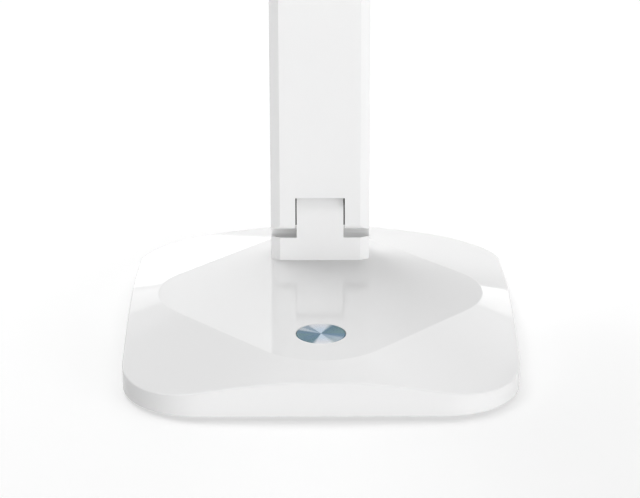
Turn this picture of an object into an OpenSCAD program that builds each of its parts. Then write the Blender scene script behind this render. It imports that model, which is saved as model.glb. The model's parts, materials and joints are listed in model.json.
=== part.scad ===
// Folding LED desk lamp: a weighted base with a flat diamond facet and a touch key, a stem on a
// friction hinge, and a slim light head that folds down in front of the stem, so that head and
// stem fold together over the base. Millimetres. The origin is on the table, under the middle of
// the base; +Z is up, and the front of the lamp is towards -Y.

/* [Base] */
// Width of the base, side to side
base_w = 150; // [140:1:170]
// Depth of the base, front to back
base_l = 166; // [156:1:186]
// Radius of the base's corners, seen from above
base_corner_r = 30; // [24:1:36]
// Height of the flat top facet above the table
base_h = 17.8; // [16.8:0.1:22]
// Thickness of the base cover's walls
base_wall = 2.2; // [1.8:0.1:2.6]
// Thickness of the plate that closes the base from below
bottom_plate_t = 2.2; // [1.8:0.1:2.6]
// Thickness of the anti-slip pad that the lamp stands on
pad_t = 1; // [0.8:0.1:1.6]
// How far the anti-slip pad stays inside the base's outline
pad_inset = 4; // [3:0.5:8]

/* [Facet] */
// Slope of the faces around the flat facet, in degrees
facet_slope = 12.5; // [9:0.5:13]
// Radius of the facet's rounded corners
facet_r = 29; // [24:1:33]
// Distance from the facet's side corners to the sides of the base
facet_side_margin = 11; // [8:0.5:14]
// Distance from the facet's front corner to the front of the base
facet_front_margin = 13.3; // [10:0.1:16]
// Distance from the facet's rear corner to the back of the base
facet_rear_margin = 18.7; // [15:0.1:21]

/* [Touch key] */
// Diameter of the spun metal touch key
key_d = 18.8; // [16:0.1:22]
// Thickness of the touch key
key_t = 1; // [0.8:0.1:1.2]
// Distance from the key's centre to the front of the base
key_from_front = 38.5; // [34:0.5:42]
// Gap around the touch key
key_gap = 0.15; // [0.1:0.05:0.3]

/* [Stem] */
// Width of the stem, of the hinge block and of the head
stem_w = 40; // [36:1:46]
// Thickness of the stem, front to back
stem_t = 15; // [14:0.5:17]
// Width of the chamfers along the stem's upright edges, seen from the front
chamfer_w = 3.7; // [2:0.1:4.5]
// Depth of those chamfers, front to back
chamfer_d = 1.9; // [1:0.1:2.4]
// Distance between the lower and the upper hinge pin
arm_pitch = 280; // [240:5:320]
// Thickness of the stem's walls
stem_wall = 1.8; // [1.5:0.1:2]
// Distance from the back of the base to the lower hinge pin
hinge_from_back = 44.3; // [42:0.1:48]

/* [Hinges] */
// Width of the two ears beside the notch in each end of the stem
ear_w = 10; // [9.5:0.1:11]
// Gap between the tongue and each side of its notch
notch_gap = 0.5; // [0.4:0.05:0.8]
// Gap between the tongue's round end and the bottom of its notch
knuckle_gap = 0.3; // [0.25:0.05:0.6]
// Radius of the rounded lower edges of the stem
ear_fillet = 3; // [2:0.5:4]
// Gap that the stem's lower edges keep to the hinge block as they swing past it
swing_gap = 0.6; // [0.4:0.1:1.2]
// Thickness of the cheeks on both sides of a notch
cheek_t = 2; // [1.8:0.1:2.4]
// Diameter of the hinge bolts
bolt_d = 4; // [3:0.5:4.5]
// Diameter of the hinge bolts' heads
bolt_head_d = 8.5; // [7.5:0.1:8.8]
// Thickness of the hinge bolts' heads
bolt_head_t = 3; // [2:0.5:3]
// Thickness of the lock nuts
nut_t = 3.6; // [3:0.1:3.8]
// Thickness of the spring washers
spring_washer_t = 1; // [0.8:0.1:1.2]
// Thickness of the friction washers
friction_washer_t = 0.95; // [0.8:0.05:1.2]

/* [Head] */
// Thickness of the head
head_t = 10; // [9.4:0.1:12]
// Gap between the head and the stem, both in use and folded
head_gap = 0.75; // [0.5:0.05:1.5]
// Gap between the folded head and the base below it
fold_gap = 0.75; // [0.5:0.05:1.5]
// Gap between the tip of the folded head and the hinge block
tip_gap = 1.5; // [1:0.5:6]
// How far the head reaches behind the upper hinge pin
head_tail = 12; // [11:0.5:16]
// Radius of the head's corners, seen from above
head_corner_r = 4; // [2:0.5:6]
// Thickness of the head shell's walls
head_wall = 1.8; // [1.5:0.1:2]
// Width of the frame on both sides of the window that the light comes out of
window_side_margin = 6.5; // [6:0.1:9]
// Distance from the window to the tip of the head
window_tip_margin = 12; // [10:0.5:20]
// Distance from the window to the upper hinge pin
window_pin_margin = 26; // [25:1:40]
// Distance between neighbouring light-emitting diodes
led_pitch = 10; // [8:0.5:20]

/* [Inside the base] */
// Width of the steel counterweight
weight_w = 88; // [70:1:90]
// Depth of the counterweight, front to back
weight_l = 68; // [56:1:69]
// Room above the counterweight, for the control board
weight_top_gap = 6.4; // [6.2:0.1:7.4]
// Width of the battery
battery_w = 60; // [40:1:64]
// Depth of the battery, front to back
battery_l = 25; // [18:0.5:26]
// Room above the battery, for the leads
battery_top_gap = 4.4; // [4.2:0.1:7.4]
// Width of the control board
board_w = 40; // [36:1:48]
// Depth of the control board, front to back
board_l = 38; // [34:1:42]
// Diameter of the lead that runs up the stem
lead_d = 2; // [1.5:0.1:2]
// Distance from the lead to the side of the hinge tongues
lead_from_side = 3.3; // [3:0.1:3.6]

/* [Hidden] */

eps = 0.01;          // overlap that fuses two shapes into one
cut = 1;             // how far a cut runs past the face that it starts from
run_gap = 0.05;      // radial clearance around a pin or a screw
part_gap = 0.15;     // gap between a lid and the shell that it closes
fn_round = 96;       // smoothness of large round shapes
fn_small = 48;       // smoothness of screws, bosses and bores
fn_facet = 64;       // smoothness of the sloping faces' round corners

// Heights in the base
floor_z = pad_t + bottom_plate_t;
ceiling_z = base_h - base_wall;

// The facet: a diamond core, whose outline stands facet_r off it
facet_half_w = base_w / 2 - facet_side_margin;
facet_half_l = (base_l - facet_front_margin - facet_rear_margin) / 2;
facet_y = (facet_front_margin - facet_rear_margin) / 2;
core_x = facet_half_w - facet_r;
core_y = facet_half_l - facet_r;

// The hinges: pin heights follow from what has to swing and fold between stem and base
knuckle_r = stem_t / 2;
notch_w = stem_w - 2 * ear_w;
tongue_w = notch_w - 2 * notch_gap;
bolt_head_gap = 0.25;
ear_drop = bolt_head_d / 2 + stem_wall + bolt_head_gap;
swing_r = norm([knuckle_r - ear_fillet, ear_drop - ear_fillet]) + ear_fillet;
pin_rise = swing_r + swing_gap;
block_h = knuckle_r + head_gap + head_t + fold_gap - pin_rise;
pin_y = base_l / 2 - hinge_from_back;
pin1_z = base_h + block_h + pin_rise;
pin2_z = pin1_z + arm_pitch;
notch_depth = knuckle_r + knuckle_gap;
cheek_x = notch_w / 2 + cheek_t;
nut_flats = 1.75 * bolt_d;
nut_x = cheek_x + spring_washer_t;
bolt_tip = 0.6;
washer_rim = 0.5;
washer_r = bolt_head_d / 2 + washer_rim;
washer_seat_gap = 0.1;
friction_x = tongue_w / 2 + run_gap;
friction_seat_x = friction_x + friction_washer_t;

// The head
head_z = pin2_z + knuckle_r + head_gap;
head_reach = arm_pitch - knuckle_r - tip_gap;
head_len = head_reach + head_tail;
head_mid_y = pin_y + (head_tail - head_reach) / 2;
head_split_z = head_z + chamfer_d;
head_roof_z = head_z + head_t - head_wall;
window_w = stem_w - 2 * window_side_margin;
window_len = head_reach - window_tip_margin - window_pin_margin;
window_mid_y = pin_y - window_pin_margin - window_len / 2;
window_r = 2;
window_lip_t = 0.5;
window_rabbet = 1;
lip_gap = 0.1;
led_board_t = 1;
led_board_in = 2.5;
led_board_z = head_roof_z - led_board_t;
led_size = [2.8, 3.5, 0.7];
led_row_x = 5.5;
led_end_gap = 8;

// The lead runs behind the hinge bolts
lead_r = lead_d / 2;
lead_x = tongue_w / 2 - lead_from_side;
lead_hole_r = lead_r + 0.3;
lead_gap = 0.1;
lead_back = knuckle_r - stem_wall - lead_r - lead_gap;
lead_y = pin_y + lead_back;
lead_end = sqrt(pow(knuckle_r, 2) - pow(lead_back, 2)) - 0.5;

// Screws: shank diameter, head diameter, head height
shell_screw = [2.5, 4.6, 1.4];
flat_screw = [2.5, 4.6, 0.8];
weight_screw = [3, 5.5, 1];
base_screw = [3, 5.5, 1.8];
block_screw = [4, 7, 2.2];
head_clearance = 0.3; // gap around a screw's head in its recess
tip_clearance = 0.6;  // room beyond a screw's tip

// Fixings of the base
boss_r = 3.5;
boss_side_margin = 23;
boss_end_margin = 33;
boss_x = base_w / 2 - boss_side_margin;
boss_y = base_l / 2 - boss_end_margin;
boss_pad_r = 5;
boss_pad_t = 1.4;
board_post_r = 2.4;
mount_plate_t = 1.5;
mount_plate_r = 3;
mount_plate_side = 2;
mount_plate_front = 4.5;
mount_plate_size = [stem_w - 2 * mount_plate_side, stem_t + 2 * mount_plate_front];
block_screw_in = 8;
block_screw_x = stem_w / 2 - block_screw_in;
block_screw_len = 11;
block_screw_z = ceiling_z - mount_plate_t;

// Counterweight, battery and boards: their heights are set from the cover's inside face
weight_t = ceiling_z - floor_z - weight_top_gap;
battery_t = ceiling_z - floor_z - battery_top_gap;
weight_r = 6;
weight_front_gap = 13;
weight_y = -base_l / 2 + weight_front_gap + weight_l / 2;
weight_screw_in = 14;
weight_screw_x = weight_w / 2 - weight_screw_in;
weight_screw_floor = 1;
weight_screw_z = floor_z - weight_screw_floor;
weight_screw_len = 4.5;
battery_gap = 3;
battery_r = 2.5;
battery_y = weight_y + weight_l / 2 + battery_gap + battery_l / 2;
board_t = 1.2;
board_r = 1.5;
board_top_gap = 3.8;
board_z = ceiling_z - board_top_gap - board_t;
board_screw_in = 3.5;
key_y = -base_l / 2 + key_from_front;
key_ledge = 2.4;
key_ring_n = 24;
key_ring_h = 0.05;
foam_gap = 1;
foam_r = key_d / 2 - key_ledge - foam_gap;
controller_size = [5, 5, 1];
controller_at = [9, -13.5, 0];
coil_size = [6, 6, 2.4];
coil_at = [-14.5, -13, 0];
capacitor_d = 4;
capacitor_h = 2.6;
capacitor_step = 6;
capacitor_at = [-2.5, 13.5, 0];
resistor_size = [2, 1.2, 0.6];
resistor_step = 2.6;
resistor_n = 4;
resistor_at = [10.5, -4, 0];

// Charging socket: its board lies on two rails
usb_board_size = [22, 17, 1.2];
usb_board_r = 1;
usb_rail_w = 2;
usb_board_lift = 1;
usb_shell = [8.94, 7.3, 3.26];
usb_wall = 0.3;
usb_back_t = 1.6;
usb_tongue = [6.7, 4.6, 0.7];
usb_set_back = 0.3;
usb_hole_gap = 0.2;
usb_board_z = floor_z + usb_board_lift;
usb_z = usb_board_z + usb_board_size[2] + usb_shell[2] / 2;
usb_back_y = base_l / 2 - usb_set_back;
usb_board_y = usb_back_y - base_wall - usb_board_size[1] / 2;

// Screws and posts of the stem, measured from the lower pin
stem_screw_in = 18;
stem_screw_n = 4;
stem_screw_step = (arm_pitch - 2 * stem_screw_in) / (stem_screw_n - 1);
stem_post_r = 3.2;
stem_screw_sink = 0.6;

// Fixings of the head: x, and distance in front of the upper pin
flange_t = 2;
flange_r = 2;
flange_front = 14;
flange_end_gap = 0.7;
flange_side_gap = 2.2;
flange_back = head_tail - head_wall - flange_end_gap;
flange_w = stem_w - 2 * (head_wall + flange_side_gap);
flange_screw_in = 3.5;
flange_screw_x = flange_w / 2 - flange_screw_in;
knuckle_screw_at = [
  [flange_screw_x, flange_screw_in - flange_back],
  [flange_screw_x, flange_front - flange_screw_in]
];
bezel_screw_in = 7;
bezel_screw_x = stem_w / 2 - bezel_screw_in;
bezel_screw_at = [
  [bezel_screw_x, (flange_front + window_pin_margin) / 2],
  [bezel_screw_x, head_reach - window_tip_margin / 2]
];
bezel_screw_floor = 0.7;
bezel_screw_z = head_split_z - bezel_screw_floor;
head_post_r = 2.7;

// Distance of a point of the base from the facet's diamond core
function core_distance(x, y) =
  let (
    p = [abs(x), abs(y - facet_y)],
    a = [core_x, 0],
    b = [0, core_y],
    along = min(1, max(0, (p - a) * (b - a) / ((b - a) * (b - a))))
  )
  norm(p - a - along * (b - a));

// Height of the base cover's inside face above a point
function ceiling_at(x, y) =
  ceiling_z - tan(facet_slope) * max(0, core_distance(x, y) - facet_r);

// ---------------------------------------------------------------- shared shapes

module rounded_rect(size, r) {
  square([size[0] - 2 * r, size[1]], center = true);
  square([size[0], size[1] - 2 * r], center = true);
  for (sx = [-1, 1], sy = [-1, 1])
    translate([sx * (size[0] / 2 - r), sy * (size[1] / 2 - r)])
      circle(r = r, $fn = fn_round);
}

module rounded_plate(size, r, t) {
  linear_extrude(t) rounded_rect(size, r);
}

// Flat bar with chamfered long edges: the outline of stem, hinge block and head
module bar_outline(w, t, inset = 0) {
  x = w / 2 - inset;
  y = t / 2 - inset;
  // the chamfer keeps its slope as the outline is moved inwards
  slip = inset * (norm([chamfer_w, chamfer_d]) - chamfer_d - chamfer_w) / chamfer_w;
  cx = chamfer_w + slip;
  cy = cx * chamfer_d / chamfer_w;
  polygon([
    [x, -y + cy], [x, y - cy], [x - cx, y], [-x + cx, y],
    [-x, y - cy], [-x, -y + cy], [-x + cx, -y], [x - cx, -y]
  ]);
}

module x_cylinder(r, x0, x1, fn = fn_small) {
  translate([x0, 0, 0]) rotate([0, 90, 0]) cylinder(r = r, h = x1 - x0, $fn = fn);
}

// A screw that points up, with its head below z = 0
module screw(kind, len) {
  translate([0, 0, -kind[2]]) {
    cylinder(d = kind[0], h = kind[2] + len, $fn = fn_small);
    cylinder(d = kind[1], h = kind[2], $fn = fn_small);
  }
}

module screw_bore(kind, z0, z1) {
  translate([0, 0, z0]) cylinder(d = kind[0] + 2 * run_gap, h = z1 - z0, $fn = fn_small);
}

// A recess for the head of such a screw, from z = 0 down to z = -depth
module screw_recess(kind, depth) {
  translate([0, 0, -depth]) cylinder(d = kind[1] + 2 * head_clearance, h = depth, $fn = fn_small);
}

// The facet and the faces that fall away from it, down to z = 0
module facet_body(top) {
  spread = top / tan(facet_slope);
  hull()
    for (p = [[core_x, 0], [-core_x, 0], [0, core_y], [0, -core_y]])
      translate([p[0], facet_y + p[1], 0])
        cylinder(r1 = facet_r + spread, r2 = facet_r, h = top, $fn = fn_facet);
}

module at_bosses() {
  for (sx = [-1, 1], sy = [-1, 1])
    translate([sx * boss_x, sy * boss_y, 0]) children();
}

module at_weight_screws() {
  for (sx = [-1, 1]) translate([sx * weight_screw_x, weight_y, 0]) children();
}

module at_block_screws() {
  for (sx = [-1, 1]) translate([sx * block_screw_x, pin_y, 0]) children();
}

module at_lower_pin() {
  translate([0, pin_y, pin1_z]) children();
}

module at_upper_pin() {
  translate([0, pin_y, pin2_z]) children();
}

// The lead's way past the hinge bolts
module lead_bore(z0, z1) {
  translate([-lead_x, lead_y, z0]) cylinder(r = lead_hole_r, h = z1 - z0, $fn = fn_small);
}

module at_board_screws() {
  for (sx = [-1, 1], sy = [-1, 1])
    translate([
      sx * (board_w / 2 - board_screw_in), key_y + sy * (board_l / 2 - board_screw_in), 0
    ]) children();
}

// ---------------------------------------------------------------- base

module base_cover() {
  boss_top = ceiling_at(boss_x, boss_y);
  boss_z = floor_z + boss_pad_t;
  post_z = board_z + board_t;
  color("white")
  difference() {
    union() {
      difference() {
        intersection() {
          translate([0, 0, pad_t])
            rounded_plate([base_w, base_l], base_corner_r, base_h - pad_t);
          facet_body(base_h);
        }
        intersection() {
          rounded_plate(
            [base_w - 2 * base_wall, base_l - 2 * base_wall], base_corner_r - base_wall, ceiling_z
          );
          facet_body(ceiling_z);
        }
      }
      at_bosses()
        translate([0, 0, boss_z])
          cylinder(r = boss_r, h = boss_top + base_wall / 2 - boss_z, $fn = fn_small);
      at_board_screws()
        translate([0, 0, post_z])
          cylinder(r = board_post_r, h = ceiling_z + eps - post_z, $fn = fn_small);
    }
    at_bosses() screw_bore(base_screw, 0, boss_top);
    at_board_screws() screw_bore(flat_screw, 0, ceiling_z);
    // seat of the touch key, and the hole that its foam contact comes up through
    translate([0, key_y, base_h - key_t])
      cylinder(d = key_d + 2 * key_gap, h = key_t + cut, $fn = fn_round);
    translate([0, key_y, 0]) cylinder(r = key_d / 2 - key_ledge, h = base_h, $fn = fn_round);
    at_block_screws() screw_bore(block_screw, ceiling_z - cut, base_h + cut);
    lead_bore(ceiling_z - cut, base_h + cut);
    // charging socket
    translate([0, base_l / 2 + cut, usb_z]) usb_outline(usb_hole_gap, base_wall + 2 * cut);
  }
}

module base_bottom() {
  gap = base_wall + part_gap;
  rail_l = usb_board_size[1] - usb_rail_w;
  color("whitesmoke")
  difference() {
    union() {
      translate([0, 0, pad_t])
        rounded_plate([base_w - 2 * gap, base_l - 2 * gap], base_corner_r - gap, bottom_plate_t);
      at_bosses()
        translate([0, 0, pad_t])
          cylinder(r = boss_pad_r, h = bottom_plate_t + boss_pad_t, $fn = fn_small);
      for (sx = [-1, 1])
        translate([
          sx * (usb_board_size[0] - usb_rail_w) / 2 - usb_rail_w / 2, usb_board_y - rail_l / 2, pad_t
        ])
          cube([usb_rail_w, rail_l, bottom_plate_t + usb_board_lift]);
    }
    at_bosses() {
      screw_bore(base_screw, 0, floor_z + boss_pad_t + cut);
      translate([0, 0, floor_z]) screw_recess(base_screw, bottom_plate_t + cut);
    }
    at_weight_screws() {
      screw_bore(weight_screw, 0, floor_z + cut);
      translate([0, 0, weight_screw_z]) screw_recess(weight_screw, bottom_plate_t);
    }
  }
}

module anti_slip_pad() {
  color("gainsboro")
  rounded_plate(
    [base_w - 2 * pad_inset, base_l - 2 * pad_inset], base_corner_r - pad_inset, pad_t
  );
}

module counterweight() {
  color("slategray")
  difference() {
    translate([0, weight_y, floor_z]) rounded_plate([weight_w, weight_l], weight_r, weight_t);
    at_weight_screws()
      screw_bore(weight_screw, floor_z - cut, weight_screw_z + weight_screw_len + tip_clearance);
  }
}

module weight_screws() {
  color("silver")
  at_weight_screws() translate([0, 0, weight_screw_z]) screw(weight_screw, weight_screw_len);
}

module base_screws() {
  len = ceiling_at(boss_x, boss_y) - tip_clearance - floor_z;
  color("silver")
  at_bosses() translate([0, 0, floor_z]) screw(base_screw, len);
}

// The tongue of a hinge: round about its pin, and straight from there to z = reach
module hinge_tongue(reach) {
  translate([-tongue_w / 2, -knuckle_r, min(0, reach)])
    cube([tongue_w, stem_t, abs(reach)]);
  x_cylinder(knuckle_r, -tongue_w / 2, tongue_w / 2, fn_round);
}

module hinge_block() {
  color("white")
  difference() {
    union() {
      translate([0, pin_y, base_h]) linear_extrude(block_h) bar_outline(stem_w, stem_t);
      at_lower_pin() hinge_tongue(-pin_rise - cut);
    }
    at_lower_pin() x_cylinder(bolt_d / 2 + run_gap, -tongue_w, tongue_w);
    at_block_screws()
      screw_bore(block_screw, base_h - cut, block_screw_z + block_screw_len + tip_clearance);
    lead_bore(base_h - cut, pin1_z + stem_t);
  }
}

module hinge_mount_plate() {
  color("silver")
  difference() {
    translate([0, pin_y, block_screw_z])
      rounded_plate(mount_plate_size, mount_plate_r, mount_plate_t);
    at_block_screws() screw_bore(block_screw, 0, base_h);
    lead_bore(0, base_h);
  }
}

module hinge_block_screws() {
  color("silver")
  at_block_screws() translate([0, 0, block_screw_z]) screw(block_screw, block_screw_len);
}

// Disc with fine turned rings, whose crests lie in one plane, flush with the facet
module touch_key() {
  pitch = key_d / 2 / key_ring_n;
  color("lightsteelblue")
  translate([0, key_y, base_h - key_t])
    rotate_extrude($fn = fn_round)
      polygon(concat(
        [[0, 0], [key_d / 2, 0]],
        [for (i = [0 : 2 * key_ring_n]) [key_d / 2 - i * pitch / 2, key_t - (i % 2) * key_ring_h]]
      ));
}

module touch_foam() {
  z = board_z + board_t;
  color("dimgray")
  translate([0, key_y, z]) cylinder(r = foam_r, h = base_h - key_t - z, $fn = fn_round);
}

module control_board() {
  color("seagreen")
  difference() {
    translate([0, key_y, board_z]) rounded_plate([board_w, board_l], board_r, board_t);
    at_board_screws() screw_bore(flat_screw, 0, base_h);
  }
}

// Touch controller, converter coil, two capacitors and a row of resistors
module board_chips() {
  color("darkslategray")
  translate([0, key_y, board_z + board_t]) {
    translate(controller_at) cube(controller_size);
    translate(coil_at) cube(coil_size);
    for (i = [0, 1])
      translate(capacitor_at + [i * capacitor_step, 0, 0])
        cylinder(d = capacitor_d, h = capacitor_h, $fn = fn_small);
    for (i = [0 : resistor_n - 1])
      translate(resistor_at + [0, i * resistor_step, 0]) cube(resistor_size);
  }
}

module board_screws() {
  color("silver")
  at_board_screws()
    translate([0, 0, board_z]) screw(flat_screw, ceiling_z - tip_clearance - board_z);
}

module usb_board() {
  color("seagreen")
  translate([0, usb_board_y, usb_board_z])
    rounded_plate([usb_board_size[0], usb_board_size[1]], usb_board_r, usb_board_size[2]);
}

// Outline of the charging socket, grown by g and swept towards -Y by depth
module usb_outline(g, depth) {
  r = usb_shell[2] / 2 + g;
  half = usb_shell[0] / 2 + g - r;
  rotate([90, 0, 0])
    linear_extrude(depth) {
      square([2 * half, 2 * r], center = true);
      for (sx = [-1, 1]) translate([sx * half, 0]) circle(r = r, $fn = fn_small);
    }
}

module usb_socket() {
  color("silver")
  translate([0, usb_back_y, usb_z]) {
    difference() {
      usb_outline(0, usb_shell[1]);
      translate([0, cut, 0]) usb_outline(-usb_wall, usb_shell[1] - usb_back_t + cut);
    }
    translate([-usb_tongue[0] / 2, usb_back_t - usb_shell[1] - eps, -usb_tongue[2] / 2])
      cube(usb_tongue);
  }
}

module battery_pack() {
  color("lightskyblue")
  translate([0, battery_y, floor_z]) rounded_plate([battery_w, battery_l], battery_r, battery_t);
}

// A lead along straight stretches, with round corners where they meet
module lead(points) {
  for (i = [0 : len(points) - 2]) {
    a = points[i];
    d = points[i + 1] - a;
    translate(a)
      rotate([0, acos(d[2] / norm(d)), atan2(d[1], d[0])])
        cylinder(r = lead_r, h = norm(d), $fn = fn_small);
    if (i > 0) translate(a) sphere(r = lead_r, $fn = fn_small);
  }
}

// One lead from the control board up into the hinge, one from the charging board to it
module base_leads() {
  start_y = key_y + board_l / 2 - lead_d;
  z = board_z + board_t + lead_r;
  usb_lead_y = usb_board_y - usb_board_size[1] / 2 + lead_d;
  color("firebrick") {
    lead([
      [-lead_x, start_y, z], [-lead_x, lead_y, z], [-lead_x, lead_y, pin1_z + lead_end]
    ]);
    lead([
      [lead_x, start_y, z], [lead_x, usb_lead_y, z],
      [lead_x, usb_lead_y, usb_board_z + usb_board_size[2]]
    ]);
  }
}

// ---------------------------------------------------------------- stem

// The stem's side profile, moved inwards by inset: rounded lower edges, fully round top
module stem_profile(inset) {
  r = knuckle_r - inset;
  low = -ear_drop + inset;
  fillet = max(0.3, ear_fillet - inset);
  translate([-r, low + fillet]) square([2 * r, arm_pitch - low - fillet]);
  translate([-r + fillet, low]) square([2 * (r - fillet), fillet + eps]);
  for (s = [-1, 1]) translate([s * (r - fillet), low + fillet]) circle(r = fillet, $fn = fn_round);
  translate([0, arm_pitch]) circle(r = r, $fn = fn_round);
}

module stem_block(inset) {
  intersection() {
    translate([0, 0, -stem_t])
      linear_extrude(arm_pitch + 2 * stem_t) bar_outline(stem_w, stem_t, inset);
    rotate([90, 0, 90])
      translate([0, 0, -stem_w]) linear_extrude(2 * stem_w) stem_profile(inset);
  }
}

// Both notches, with their walls' thickness as margin
module stem_notches(margin) {
  half = notch_w / 2 + margin;
  depth = notch_depth + margin;
  translate([-half, -stem_t, -2 * stem_t]) cube([2 * half, 2 * stem_t, 2 * stem_t + depth]);
  translate([-half, -stem_t, arm_pitch - depth]) cube([2 * half, 2 * stem_t, 2 * stem_t + depth]);
}

// The screws' own frame: their heads are at the rear, and they point to the front
module at_stem_screws() {
  for (i = [0 : stem_screw_n - 1])
    translate([0, 0, stem_screw_in + i * stem_screw_step]) rotate([90, 0, 0]) children();
}

module stem_body() {
  seat = knuckle_r - shell_screw[2] - stem_screw_sink;
  difference() {
    union() {
      difference() {
        stem_block(0);
        difference() {
          stem_block(stem_wall);
          stem_notches(cheek_t);
        }
      }
      // screw posts from the front wall to the rear wall
      at_stem_screws()
        cylinder(r = stem_post_r, h = stem_t - stem_wall, center = true, $fn = fn_small);
    }
    stem_notches(0);
    // hinge bolts, and the seats of their friction washers
    for (z = [0, arm_pitch])
      translate([0, 0, z]) {
        x_cylinder(bolt_d / 2 + run_gap, -cheek_x - cut, cheek_x + cut);
        x_cylinder(washer_r + washer_seat_gap, -friction_seat_x, friction_seat_x);
      }
    translate([0, -pin_y, 0]) lead_bore(0, arm_pitch);
    at_stem_screws() {
      screw_bore(shell_screw, -seat, knuckle_r - stem_wall);
      translate([0, 0, -seat]) screw_recess(shell_screw, stem_t);
    }
  }
}

// The shells part on the plane of the pins: side is -1 for the front one, 1 for the rear one
module stem_half(side) {
  at_lower_pin()
    intersection() {
      stem_body();
      translate([-stem_w, side > 0 ? 0 : -stem_t, -stem_t])
        cube([2 * stem_w, stem_t, arm_pitch + 2 * stem_t]);
    }
}

module stem_front() {
  color("white") stem_half(-1);
}

module stem_rear() {
  color("white") stem_half(1);
}

module stem_screws() {
  seat = knuckle_r - shell_screw[2] - stem_screw_sink;
  color("silver")
  at_lower_pin()
    at_stem_screws()
      translate([0, 0, -seat])
        screw(shell_screw, seat + knuckle_r - stem_wall - tip_clearance);
}

module stem_lead() {
  color("firebrick")
  translate([-lead_x, lead_y, pin1_z + notch_depth])
    cylinder(r = lead_r, h = arm_pitch - 2 * notch_depth, $fn = fn_small);
}

// A hinge bolt lies along X, with its head in one ear and its thread in the other
module hinge_bolt() {
  x_cylinder(bolt_d / 2, -cheek_x - bolt_head_t, nut_x + nut_t + bolt_tip);
  x_cylinder(bolt_head_d / 2, -cheek_x - bolt_head_t, -cheek_x);
}

module hinge_nut() {
  difference() {
    translate([nut_x, 0, 0])
      rotate([0, 90, 0]) rotate(30) cylinder(d = nut_flats / cos(30), h = nut_t, $fn = 6);
    x_cylinder(bolt_d / 2 + run_gap, nut_x - cut, nut_x + nut_t + cut);
  }
}

module ring(r_out, x0, x1) {
  difference() {
    x_cylinder(r_out, x0, x1);
    x_cylinder(bolt_d / 2 + run_gap, x0 - cut, x1 + cut);
  }
}

module friction_washers() {
  ring(washer_r, friction_x, friction_seat_x);
  ring(washer_r, -friction_seat_x, -friction_x);
}

module spring_washer() {
  ring(bolt_head_d / 2, cheek_x, nut_x);
}

module lower_hinge_bolt() {
  color("silver") at_lower_pin() hinge_bolt();
}

module lower_hinge_nut() {
  color("silver") at_lower_pin() hinge_nut();
}

module lower_spring_washer() {
  color("gray") at_lower_pin() spring_washer();
}

module lower_friction_washers() {
  color("ivory") at_lower_pin() friction_washers();
}

module upper_hinge_bolt() {
  color("silver") at_upper_pin() hinge_bolt();
}

module upper_hinge_nut() {
  color("silver") at_upper_pin() hinge_nut();
}

module upper_spring_washer() {
  color("gray") at_upper_pin() spring_washer();
}

module upper_friction_washers() {
  color("ivory") at_upper_pin() friction_washers();
}

// ---------------------------------------------------------------- head

// A box over the whole head's plan, from z0 to z1
module head_slice(z0, z1) {
  translate([-stem_w, head_mid_y - head_len, z0]) cube([2 * stem_w, 2 * head_len, z1 - z0]);
}

module head_plan(inset, z0, z1) {
  translate([0, head_mid_y, z0])
    rounded_plate(
      [stem_w - 2 * inset, head_len - 2 * inset], max(0.5, head_corner_r - inset), z1 - z0
    );
}

// The head's outer form, moved inwards by inset
module head_block(inset) {
  intersection() {
    head_plan(inset, head_z - cut, head_z + head_t + cut);
    translate([0, head_mid_y + head_len, head_z + head_t / 2])
      rotate([90, 0, 0]) linear_extrude(2 * head_len) bar_outline(stem_w, head_t, inset);
  }
}

module at_head(places) {
  for (p = places, sx = [-1, 1])
    translate([sx * p[0], pin_y - p[1], 0]) children();
}

module head_shell() {
  middle_z = head_z + head_t / 2;
  flange_z = head_split_z + flange_t;
  color("white")
  difference() {
    union() {
      difference() {
        intersection() {
          head_block(0);
          head_slice(head_split_z, head_z + head_t + cut);
        }
        intersection() {
          head_block(head_wall);
          head_slice(middle_z - cut, head_z + head_t);
        }
        head_plan(head_wall, head_split_z - cut, middle_z);
      }
      at_head(knuckle_screw_at)
        translate([0, 0, flange_z])
          cylinder(r = head_post_r, h = head_roof_z + eps - flange_z, $fn = fn_small);
      at_head(bezel_screw_at)
        translate([0, 0, head_split_z])
          cylinder(r = head_post_r, h = head_roof_z + eps - head_split_z, $fn = fn_small);
    }
    at_head(concat(knuckle_screw_at, bezel_screw_at))
      screw_bore(shell_screw, head_split_z - cut, head_roof_z);
  }
}

module head_bezel() {
  color("white")
  difference() {
    intersection() {
      head_block(0);
      head_slice(head_z - cut, head_split_z);
    }
    // window, with a rabbet for the diffuser's edge
    translate([0, window_mid_y, head_z - cut])
      rounded_plate([window_w, window_len], window_r, chamfer_d + 2 * cut);
    translate([0, window_mid_y, head_z + window_lip_t])
      rounded_plate(
        [window_w + 2 * window_rabbet, window_len + 2 * window_rabbet],
        window_r + window_rabbet, chamfer_d
      );
    // opening that the knuckle comes down through
    translate([
      -tongue_w / 2 - part_gap, pin_y - knuckle_r - part_gap, head_z - cut
    ])
      cube([tongue_w + 2 * part_gap, stem_t + 2 * part_gap, chamfer_d + 2 * cut]);
    at_head(knuckle_screw_at) translate([0, 0, head_split_z + cut])
      screw_recess(flat_screw, flat_screw[2] + lip_gap + cut);
    at_head(bezel_screw_at) {
      screw_bore(shell_screw, head_z - cut, head_split_z + cut);
      translate([0, 0, bezel_screw_z]) screw_recess(shell_screw, chamfer_d);
    }
  }
}

module diffuser() {
  edge = window_rabbet - lip_gap;
  color("azure") {
    translate([0, window_mid_y, head_z + window_lip_t])
      rounded_plate(
        [window_w + 2 * edge, window_len + 2 * edge], window_r + edge, chamfer_d - window_lip_t
      );
    translate([0, window_mid_y, head_z + lip_gap])
      rounded_plate(
        [window_w - 2 * lip_gap, window_len - 2 * lip_gap], window_r - lip_gap,
        chamfer_d - lip_gap
      );
  }
}

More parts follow.
